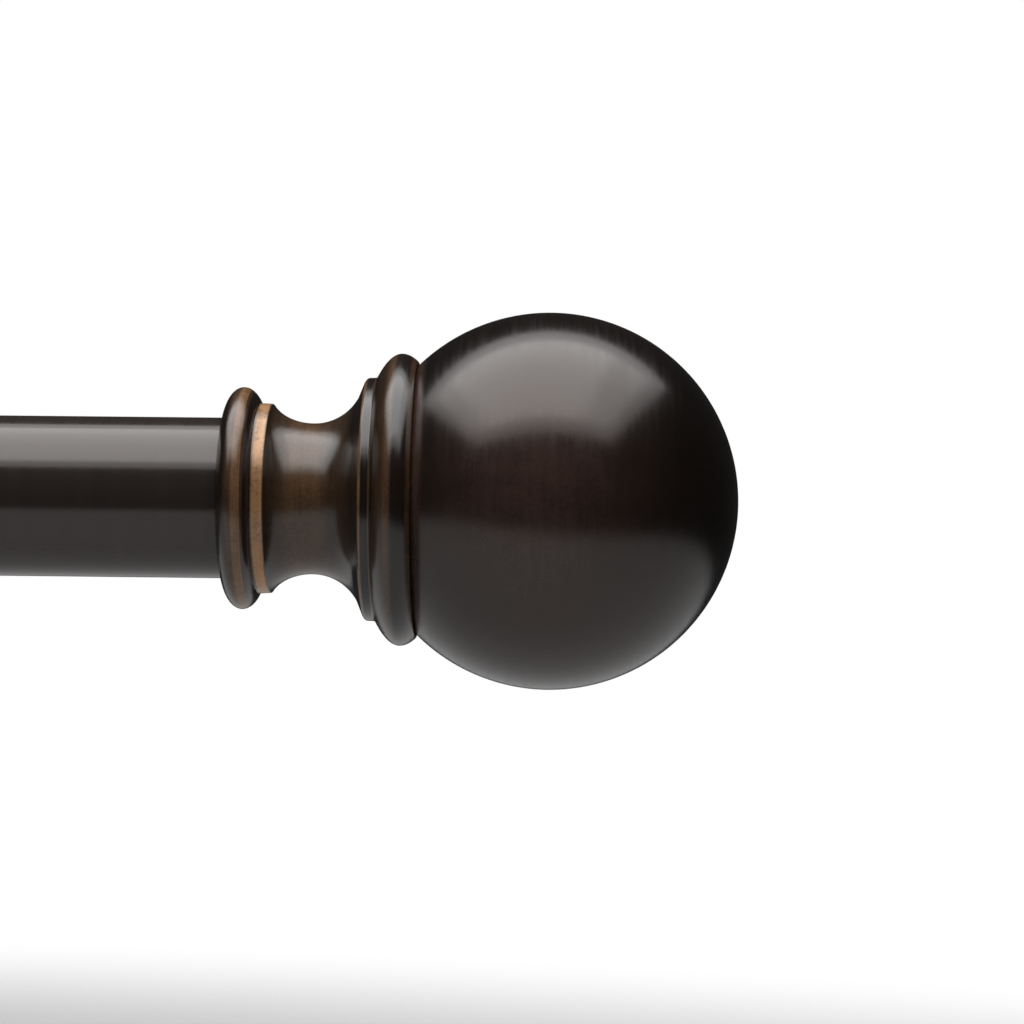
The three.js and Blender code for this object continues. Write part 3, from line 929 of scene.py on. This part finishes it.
def rub_ball_and_paint_reflections(piece, side):
    """Broad warm patches, the one facing the room partly a painted reflection of it, and a copper band by the
    neck that is a painted reflection of the neck's large bead.
    """
    points = own_points(piece)
    away = points @ np.array(piece.matrix_world.to_3x3()).T
    away[:, 0] -= BALL_CENTRE * OUTWARDS[side].x
    away[:, 0] *= OUTWARDS[side].x
    away /= BALL_RADIUS
    # painted reflection: the copper band next to the neck stands in for the neck's large bead mirrored in the
    # glossy ball
    rub = 0.12 * window(points[:, 2], 29.0, 32.6, 1.2)
    for towards, strength in WARM_WIPING_AND_ROOM_REFLECTION:
        apart = away - np.array(Vector(towards).normalized())
        rub = rub + strength * np.exp(-(apart**2).sum(1) / (2 * PATCH_SPREAD**2))
    write_rub(piece, rub)


for side in SIDES:
    place = pointing(shoulder[side], OUTWARDS[side])
    ball = turned(f"ball_{side}", ball_profile(), place, sides=192, ring=False)
    rub_ball_and_paint_reflections(ball, side)
    install(ball, f"finial_ball_{side}", ball_bronze, f"finial_ball_{side}")
    print(ball.name, len(ball.data.polygons), "faces")

# %% [markdown]
# ## Threads
#
# A screw thread is a cylinder whose radius goes up and down along a helix: at any point it depends on how
# far along it is in turns, less the angle round the axis. It fades out at both ends of the threaded
# stretch, as a die leaves it. The same function serves the finials' studs, the machine screws and the
# coarse wall screws.

# %% The shape of a thread


def thread(pitch, depth, start, end, crest=None):
    """A shape for turned(): cuts a thread between start and end into whatever is about crest in radius."""
    low, high = min(start, end), max(start, end)

    def shape(along, radius, angle):
        if not low <= along <= high or (crest and abs(radius - crest) > 0.05):
            return np.full(len(angle), radius)
        phase = (along / pitch - angle / (2 * math.pi)) % 1
        groove = 1 - np.abs(2 * phase - 1)
        fade = min(1, (along - low) / pitch, (high - along) / pitch)
        return radius - depth * fade * groove

    return shape


print("thread helper ready")

# %% Studs and bosses
STUD_TIP, STUD_END = -5.5, 30.3
STUD_RADIUS, STUD_PITCH = 3.0, 1.0
TIP_BEVEL = 0.8
BOSS_FACE, BOSS_LENGTH = 24.92, 6
BOSS_RADIUS = 11.8
for side in SIDES:
    place = pointing(shoulder[side], OUTWARDS[side])
    tip = [(STUD_TIP, 0), (STUD_TIP, STUD_RADIUS - TIP_BEVEL), (STUD_TIP + TIP_BEVEL, STUD_RADIUS)]
    shank = run(STUD_TIP + 1, STUD_END - 0.5, STUD_RADIUS, STUD_PITCH / 8)
    head = [(STUD_END, STUD_RADIUS - 0.4), (STUD_END, 0)]
    cut_thread = thread(STUD_PITCH, 0.5, STUD_TIP + TIP_BEVEL, STUD_END - 0.5)
    stud = turned(f"stud_{side}", tip + shank + head, place, 48, ring=False, shape=cut_thread)
    install(stud, f"finial_ball_{side}", zinc, f"finial_stud_{side}")
    outline = tube_profile(BOSS_FACE, BOSS_FACE + BOSS_LENGTH, STUD_RADIUS + 0.1, BOSS_RADIUS, 0.5)
    install(turned(f"boss_{side}", outline, place), f"finial_ball_{side}", zinc, f"ball_boss_{side}")
print("studs and bosses made")

# %% [markdown]
# ## Countersunk screws
#
# Three kinds hold each bracket together, and all are one outline: a conical head, a shank and a tip. The
# wall screws have a coarse thread that runs to a point and a cross recess; the machine screws have a fine
# one and a hexagonal socket. The recess is cut with a boolean, because no revolved profile has corners in
# it.

# %% Draw a countersunk screw


def recess_cutter(placement, radius, depth, cross):
    """A tapered cross or a hexagonal socket, standing on the head's face and pointing into it."""
    if not cross:
        return turned("cutter", bar(-depth, 1, radius), placement, 6, ring=False)
    blade = ((radius, -0.18 * radius), (radius, 0.18 * radius), (0.28 * radius, 0.28 * radius))
    corners = []
    for quarter in range(4):
        turn = Matrix.Rotation(quarter * math.pi / 2, 2)
        corners += [turn @ Vector(corner) for corner in blade]
    levels = ((-depth, 0.35), (0.3, 1.1))
    vertices = [(c.x * s * MM, c.y * s * MM, z * MM) for z, s in levels for c in corners]
    count = len(corners)
    walls = [(i, (i + 1) % count, count + (i + 1) % count, count + i) for i in range(count)]
    caps = [tuple(range(count)), tuple(range(count, 2 * count))]
    return mesh_object("cutter", vertices, walls + caps, placement)


def countersunk(name, placement, length, head_radius, shank_radius, pitch, depth, pointed):
    """Its own Z points out of the head, whose face is at 0."""
    neck = -(head_radius - shank_radius) - 0.2
    tip = -length
    taper = 7.0 if pointed else 0.6
    end_radius = 0.25 if pointed else shank_radius - 0.5
    threaded = run(neck - 0.2, tip + taper, shank_radius, pitch / 8)
    point = [
        (tip + taper * (1 - t), shank_radius + (end_radius - shank_radius) * t)
        for t in np.linspace(0, 1, 24 if pointed else 2)
    ]
    head = rounded([(0, 0), (0, head_radius), (-0.35, head_radius), (neck, shank_radius)], 0.18, ring=False)
    outline = head + threaded + point[1:] + [(tip, 0)]
    shape = thread(pitch, depth, neck - 1.0, tip + 0.3)
    screw = turned(name, outline, placement, 48, ring=False, shape=shape)
    recess_radius = (0.55 if pointed else 0.38) * head_radius
    return cut(screw, recess_cutter(placement, recess_radius, 1.5, pointed))


print("screw helper ready")

# %% Screws of the brackets
WOOD_SCREW = {"head_radius": 4.5, "shank_radius": 2.1, "pitch": 1.9, "depth": 0.75, "pointed": True}
PLATE_SCREW = {"head_radius": 4.4, "shank_radius": 2.5, "pitch": 0.8, "depth": 0.4, "pointed": False}
CRADLE_SCREW = {**PLATE_SCREW, "head_radius": 4.3}
LEVELS = ("upper", "lower")
for side in SIDES:
    spot = wall_spot[side]
    for level in LEVELS:
        node = f"wall_screw_{side}_{level}"
        low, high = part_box(node)
        place = pointing(Vector((spot.x, low.y, (low.z + high.z) / 2)), INTO_ROOM)
        screw = countersunk(f"wood_screw_{side}_{level}", place, (high.y - low.y) / MM, **WOOD_SCREW)
        install(screw, "root", zinc, node)
    low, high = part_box(f"arm_fixing_screw_{side}")
    place = pointing(Vector((spot.x, high.y, spot.z)), -INTO_ROOM)
    screw = countersunk(f"plate_screw_{side}", place, (high.y - low.y) / MM, **PLATE_SCREW)
    install(screw, "root", zinc, f"arm_fixing_screw_{side}")
    low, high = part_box(f"cradle_fixing_screw_{side}")
    place = pointing(Vector((spot.x, low.y, spot.z)), INTO_ROOM)
    screw = countersunk(f"cradle_screw_{side}", place, (high.y - low.y) / MM, **CRADLE_SCREW)
    install(screw, f"arm_{side}", zinc, f"cradle_fixing_screw_{side}")
print("screws made")

# %% [markdown]
# ## Wall anchors and mounting plates
#
# The anchors are ribbed nylon plugs: rings stop them turning out, and they taper towards the end that
# spreads. The plate is a stamped disc with its edge broken, drilled for two wall screws and for the arm's
# screw.

# %% Anchors and plates


def anchor_profile(start, end):
    bore, crest, groove = 2.3, 3.5, 3.0
    flange = start - 1.2
    outline = [(start, bore), (start, crest), (flange, crest)]
    ribs = 7
    pitch = (flange - (end + 6)) / ribs
    for rib in range(ribs):
        top = flange - rib * pitch
        outline += [(top, groove), (top - 0.75 * pitch, crest), (top - pitch, crest)]
    outline += [(end + 5, 3.2), (end, 2.75), (end, bore)]
    return rounded(outline, 0.15, ring=True, steps=2)


PLATE_RADIUS, PLATE_THICKNESS = 23, 2.5
SCREW_OFFSET = 14  # of each wall screw, above or below the plate's middle


def countersink(side, up, wide_end, thin_end, head, shank):
    """A cutter for a screw's hole in the plate, widening to head at wide_end."""
    place = pointing(wall_spot[side] + Vector((0, 0, up * MM)), INTO_ROOM)
    step = 1 if wide_end > thin_end else -1
    outline = [
        (thin_end - step, 0), (thin_end - step, shank), (wide_end - step * (head - shank), shank),
        (wide_end, head), (wide_end + step, head), (wide_end + step, 0),
    ]
    return turned("cutter", outline, place, 48, ring=False)


def plate_piece(side):
    outline = rounded(bar(0, PLATE_THICKNESS, PLATE_RADIUS), 0.35, ring=False)
    plate = turned(f"plate_{side}", outline, pointing(wall_spot[side], INTO_ROOM), 128, ring=False)
    return cut(
        plate,
        countersink(side, SCREW_OFFSET, PLATE_THICKNESS, 0, 5.0, 2.45),
        countersink(side, -SCREW_OFFSET, PLATE_THICKNESS, 0, 5.0, 2.45),
        countersink(side, 0, 0, PLATE_THICKNESS, 4.95, 2.7),
    )


for side in SIDES:
    install(plate_piece(side), "root", zinc, f"mounting_plate_{side}")
    for level in LEVELS:
        node = f"wall_anchor_{side}_{level}"
        low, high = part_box(node)
        place = pointing(Vector((wall_spot[side].x, 0, (low.z + high.z) / 2)), INTO_ROOM)
        anchor = turned(f"anchor_{side}_{level}", anchor_profile(-low.y / MM, -high.y / MM), place, 48)
        install(anchor, "root", anchor_nylon, node)
print("plates and anchors made")

# %% [markdown]
# ## Sleeve, plug, collar and arm
#
# The arm rod slides in a sleeve that stands out from the plate. A plug closes the sleeve's back and takes
# the plate's screw, and a collar stiffens its mouth and gives the thumb screw enough metal to bite in. They
# share one axis, so they are four profiles at the same place.

# %% Helpers for what lies on a bracket's axis


def out_from_wall(node):
    """Where the part starts and ends, in millimetres out from the wall."""
    low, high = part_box(node)
    return -high.y / MM, -low.y / MM


def bracket_piece(name, side, outline, body, material, node, ring=True, corner=0.3):
    """A piece on a bracket's axis, whose along is measured out from the wall."""
    profile = rounded(outline, corner, ring=ring)
    if material is bracket_bronze:
        profile = fine(profile, 0.7)
    piece = turned(name, profile, pointing(wall_spot[side], INTO_ROOM), ring=ring)
    if material is bracket_bronze:
        rub_edges(piece, gain=1.6)
    install(piece, body, material, node)
    return piece


LOCK_HOLE = 2.6


def drill_for_lock(piece, side):
    """The thumb screw comes up from below, through the collar and the sleeve."""
    place = pointing(Vector((wall_spot[side].x, middle(f"arm_lock_pad_{side}").y, rod_axis.z)), DOWN)
    cut(piece, turned("cutter", bar(2, 14, LOCK_HOLE), place, 48, ring=False))


print("bracket helpers ready")

# %% Draw the collar
COLLAR_BORE = 8.1


def collar_piece(side):
    """A band with a bead at each end, drilled for the thumb screw."""
    start, end = out_from_wall(f"sleeve_collar_{side}")
    outline = [
        (start, COLLAR_BORE), (start, 9.6), (start + 1.0, 10.5), (start + 2.6, 10.5), (start + 3.0, 10.1),
        (end - 3.0, 10.1), (end - 2.6, 10.5), (end - 1.0, 10.5), (end, 9.6), (end, COLLAR_BORE),
    ]
    profile = fine(rounded(outline, 0.35, ring=True), 0.4)
    collar = turned(f"collar_{side}", profile, pointing(wall_spot[side], INTO_ROOM), 128)
    drill_for_lock(collar, side)
    rub_edges(collar, gain=1.6)
    return collar


print("collar helper ready")

# %% Sleeves, plugs, arms and collars
SLEEVE_BORE, SLEEVE_RADIUS = 6.3, 8
ARM_RADIUS = 6
TAPPED_HOLE = 2.6  # for the plate's screw in the plug and the cradle's screw in the arm
for side in SIDES:
    node = f"arm_sleeve_{side}"
    start, end = out_from_wall(node)
    outline = [(start, SLEEVE_BORE), (start, SLEEVE_RADIUS), (end, SLEEVE_RADIUS), (end, SLEEVE_BORE)]
    sleeve = bracket_piece(f"sleeve_{side}", side, outline, "root", bracket_bronze, node)
    drill_for_lock(sleeve, side)
    node = f"sleeve_plug_{side}"
    start, end = out_from_wall(node)
    outline = [(start, TAPPED_HOLE), (start, 6.2), (end, 6.2), (end, TAPPED_HOLE)]
    bracket_piece(f"back_plug_{side}", side, outline, "root", zinc, node)
    node = f"arm_rod_{side}"
    start, end = out_from_wall(node)
    outline = [
        (start, 0), (start, ARM_RADIUS), (end, ARM_RADIUS), (end, TAPPED_HOLE), (end - 12.3, TAPPED_HOLE),
        (end - 13, 0),
    ]
    bracket_piece(f"arm_{side}", side, outline, f"arm_{side}", bracket_bronze, node, ring=False, corner=0.6)
    install(collar_piece(side), "root", bracket_bronze, f"sleeve_collar_{side}")
print("sleeves, plugs, arms and collars made")

# %% [markdown]
# ## The rosette cover
#
# A spun cover hides the plate and its screws, and slides out along the sleeve to reach them. Its moulding
# answers the finial's: a quarter round at the rim, a fillet, a deep cove and a rounded hub, with copper on
# the fillet and at the hub. A small set screw in the hub holds it against the wall.

# %% Draw the cover and its copper lines


def cover_profile():
    rim, bore, hub_back = 27.4, 8.4, 10.5
    cove = (12, 25)
    return rounded(
        [
            (0.2, rim), (0.2, 29),
            *arc((2.2, 26.5), (2.5, 2.5), 90, 0, 12),
            (4.75, 24.95),
            *arc(cove, (7.25, -12), 176, 90, 28),
            (12.6, 13),
            *arc((12.6, 10.2), (3.4, 2.8), 80, 8, 14),
            (16, 9.9), (16, bore), (hub_back, bore),
            *arc(cove, (8.9, -13.6), 100, 180, 16),
            (3.1, rim),
        ],
        0.3,
        ring=True,
    )


def copper_lines(piece):
    """The flat behind the rim and the step at the hub are wiped bare, as the finial's fillets are."""
    points = own_points(piece)
    along, radius = points[:, 2], np.hypot(points[:, 0], points[:, 1])
    return (
        0.03
        + 0.75 * window(radius, 24.9, 26.3, 0.5) * window(along, 4.3, 5.2, 0.2)
        + 0.55 * window(along, 11.9, 13.0, 0.5) * (radius > 12.4)
        + 0.22 * window(radius, 10.8, 12.4, 1.0) * (along > 13.2)
    )


print("cover drawn with", len(cover_profile()), "points")

# %% Covers and their set screws
SET_SCREW_PLACE = 13.4  # out from the wall
GRUB_START, GRUB_END, GRUB_RADIUS = 8.6, 12.1, 1.5
for side in SIDES:
    below = pointing(wall_spot[side] + INTO_ROOM * SET_SCREW_PLACE * MM, DOWN)
    cover = turned(f"rosette_{side}", fine(cover_profile(), 0.5), pointing(wall_spot[side], INTO_ROOM), 160)
    cut(cover, turned("cutter", bar(7, 16, 1.65), below, 32, ring=False))
    rub_edges(cover, gain=2.2, base=copper_lines(cover))
    install(cover, f"cover_{side}", bracket_bronze, f"rosette_cover_{side}")
    outline = [(GRUB_START, 0), (GRUB_START, 1.1), (9.0, GRUB_RADIUS), (GRUB_END, GRUB_RADIUS), (GRUB_END, 0)]
    grub = turned(f"grub_{side}", rounded(outline, 0.12, ring=False), below, 32, ring=False)
    cut(grub, turned("cutter", bar(10.6, 13, 0.8), below, 6, ring=False))
    install(grub, f"cover_{side}", zinc, f"cover_set_screw_{side}")
print("covers made")

# %% [markdown]
# ## The cradle
#
# The saddle is a small casting: a U with a round boss behind for the arm and one in front for the thumb
# screw, and soft fillets where they meet. Fillets between a curved wall and a boss are hard to bevel and
# easy to remesh. So the rough shapes are joined by a voxel remesh, the surface is relaxed until the joins
# flow, and then the channel for the rod and the holes are cut in crisp, as a machinist would after casting.

# %% The casting
CRADLE_BORE = TUBE_RADIUS + 0.4
CRADLE_WALL = 3.4
CRADLE_WIDTH = 14.0
BOSS_START, BOSS_END = -19.5, 19.0  # from the rod's axis, back and front
VOXEL = 0.4


def u_outline():
    """Points (out, up) about the rod's axis."""
    lip = CRADLE_WALL / 2
    outer = CRADLE_BORE + CRADLE_WALL
    return [
        *arc((0, 0), (CRADLE_BORE, CRADLE_BORE), 180, 360, 40),
        *arc((CRADLE_BORE + lip, 7), (lip, lip), 180, 0, 10),
        *arc((0, 0), (outer, outer), 360, 180, 40),
        *arc((-CRADLE_BORE - lip, 9), (lip, lip), 180, 0, 10),
    ]


def join(piece, *others):
    with bpy.context.temp_override(active_object=piece, selected_editable_objects=[piece, *others]):
        bpy.ops.object.join()


def cast_cradle(name, side):
    """Its own Z points into the room from the rod's axis, and its own Y points down."""
    axis = wall_spot[side] + INTO_ROOM * PROJECTION * MM
    place = Matrix.Translation(axis) @ Matrix(((-1, 0, 0), (0, 0, -1), (0, -1, 0))).to_4x4()
    outline = u_outline()
    count = len(outline)
    half = CRADLE_WIDTH / 2
    vertices = [(x * MM, -up * MM, out * MM) for x in (-half, half) for out, up in outline]
    walls = [(i, (i + 1) % count, count + (i + 1) % count, count + i) for i in range(count)]
    caps = [tuple(range(count)), tuple(range(count, 2 * count))]
    saddle = mesh_object(name, vertices, walls + caps, place)
    back = turned("boss", bar(BOSS_START, -12.6, 8), place, 64, ring=False)
    front = turned("boss", bar(14, BOSS_END, 5.5), place, 64, ring=False)
    join(saddle, back, front)
    remesh = saddle.modifiers.new("cast", "REMESH")
    remesh.mode = "VOXEL"
    remesh.voxel_size = VOXEL * MM
    relax = saddle.modifiers.new("relax", "SMOOTH")
    relax.factor = 0.5
    relax.iterations = 7
    apply_modifiers(saddle)
    return saddle, place


print("cradle helpers ready")

# %% Cast the cradles and machine them
CHANNEL = 12.95
COUNTERSINK = [(-15.6, 0), (-15.6, 2.7), (-13.4, 4.9), (-9, 4.9), (-9, 0)]
for side in SIDES:
    cradle, place = cast_cradle(f"saddle_{side}", side)
    rub_edges(cradle, gain=2.6, spread=3)
    across = pointing(place.translation, OUTWARDS["right"])
    cut(
        cradle,
        turned("cutter", bar(-12, 12, CHANNEL), across, 160, ring=False),
        turned("cutter", bar(-22, -17, ARM_RADIUS + 0.15), place, 64, ring=False),
        turned("cutter", bar(-18, -10, 2.7), place, 48, ring=False),
        turned("cutter", COUNTERSINK, place, 48, ring=False),
        turned("cutter", bar(11, 22, LOCK_HOLE), place, 48, ring=False),
    )
    install(cradle, f"arm_{side}", bracket_bronze, f"cradle_{side}")
    print(cradle.name, len(cradle.data.polygons), "faces")

# %% [markdown]
# ## Thumb screws and their pads
#
# Two knurled screws lock each bracket: one from below holds the arm, one in front holds the rod. The knurl
# is cut into the head's rim by letting its radius ripple round the axis, and the paint wears off the
# ridges. A nylon pad on the tip keeps the screw from marking what it clamps.

# %% Draw the knurled screw
KNURLS = 30
KNURL_DEPTH = 0.55
HEAD_RADIUS = 6.3
HEAD_HEIGHT = 7.0
SHANK_RADIUS = 2.5


def thumb_profile(reach):
    top = reach + HEAD_HEIGHT
    shank = run(1.6, reach - 0.4, SHANK_RADIUS, 0.1)
    rim = run(reach + 1.5, top - 1.5, HEAD_RADIUS, 0.8)
    return [
        (3.4, 0), (3.4, 1.25), (1.1, 1.25), (1.1, 2.1), (1.5, SHANK_RADIUS), *shank, (reach - 0.2, 2.6),
        (reach, 2.9), (reach, 4.9), (reach + 0.3, 5.3), (reach + 1.0, 5.45), (reach + 1.2, 5.9), *rim,
        (top - 1.2, 5.9), (top - 1.0, 5.45), (top - 0.35, 5.3), (top, 4.9), (top, 3.9), (top - 0.35, 3.5),
        (top - 0.5, 0),
    ]


def thumb_shape(reach):
    threaded = thread(0.8, 0.38, 1.3, reach - 0.3, crest=SHANK_RADIUS)

    def shape(along, radius, angle):
        if radius > 5.8:
            return radius - KNURL_DEPTH * (0.5 - 0.5 * np.cos(KNURLS * angle)) ** 0.8
        return threaded(along, radius, angle)

    return shape


print("thumb screw helpers ready")

# %% Thumb screws and pads
PAD_OUTLINE = [(0, 0), (0, 2.3), (0.8, 2.3), (0.8, 1), (3, 1), (3, 0)]


def clamping_pair(name, side, place, span):
    """A pad and the screw behind it, each on its own body. span is from the pad's face to the head's top."""
    reach = span / MM - HEAD_HEIGHT
    profile, shape = thumb_profile(reach), thumb_shape(reach)
    screw = turned(f"{name}_thumb_screw_{side}", profile, place, KNURLS * 6, ring=False, shape=shape)
    rub_edges(screw, gain=1.8, spread=1, base=0.02)
    install(screw, f"{name}_lock_screw_{side}", bracket_bronze, f"{name}_lock_screw_{side}")
    pad = turned(f"{name}_tip_{side}", rounded(PAD_OUTLINE, 0.2, ring=False), place, 48, ring=False)
    install(pad, f"{name}_lock_pad_{side}", black_nylon, f"{name}_lock_pad_{side}")


for side in SIDES:
    spot = wall_spot[side]
    low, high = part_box(f"arm_lock_pad_{side}")
    place = pointing(Vector((spot.x, (low.y + high.y) / 2, high.z)), DOWN)
    clamping_pair("arm", side, place, high.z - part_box(f"arm_lock_screw_{side}")[0].z)
    low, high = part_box(f"rod_lock_pad_{side}")
    place = pointing(Vector((spot.x, high.y, (low.z + high.z) / 2)), INTO_ROOM)
    clamping_pair("rod", side, place, high.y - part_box(f"rod_lock_screw_{side}")[0].y)
print("thumb screws made")

# %% [markdown]
# ## The floor
#
# A plain pale oval well below the rod. Its rim fades out, so that there is no edge to see and none to
# reflect, and it is clear from underneath, where a camera may look up at the brackets.

# %% Lay the floor
FLOOR_DROP = 0.22  # below the rod's axis
FLOOR_LENGTH, FLOOR_DEPTH = 1.5, 0.85  # from the middle to the rim, along the rod and across it
FADE_START, FADE_END = 0.7, 0.99  # as parts of the way to the rim
PAPER = (0.41, 0.41, 0.41, 1)

floor_level = rod_axis.z - FLOOR_DROP
floor_middle = Vector(((cad_low.x + cad_high.x) / 2, rod_axis.y, floor_level))
bpy.ops.mesh.primitive_circle_add(vertices=96, radius=1.0, fill_type="NGON", location=floor_middle)
floor = bpy.context.object
floor.name = "floor"
floor.scale = (FLOOR_LENGTH, FLOOR_DEPTH, 1)
paper = bpy.data.materials.new("floor_paper")
paper.use_nodes = True
tree = paper.node_tree
shader = tree.nodes["Principled BSDF"]
shader.inputs["Base Color"].default_value = PAPER
shader.inputs["Roughness"].default_value = 0.9
own = add(tree, "TexCoord").outputs["Object"]
distance = add(tree, "VectorMath", {0: own}, operation="LENGTH").outputs["Value"]
near_middle = ramp(tree, distance, FADE_START, FADE_END, 1.0, 0.0)
from_below = add(tree, "NewGeometry").outputs["Backfacing"]
fill(tree, shader.inputs["Alpha"], maths(tree, "SUBTRACT", near_middle, from_below, clamp=True))
floor.data.materials.append(paper)
floor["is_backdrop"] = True
print("floor at z =", round(floor_level, 3))

# %% [markdown]
# ## Sizes
#
# The sizes of both boxes are printed, the model's and the looks'. The looks have to stay
# inside the model's box.

# %% Write both boxes
low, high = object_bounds()
print("model box", [round(v, 4) for v in cad_high - cad_low], "looks", [round(v, 4) for v in high - low])
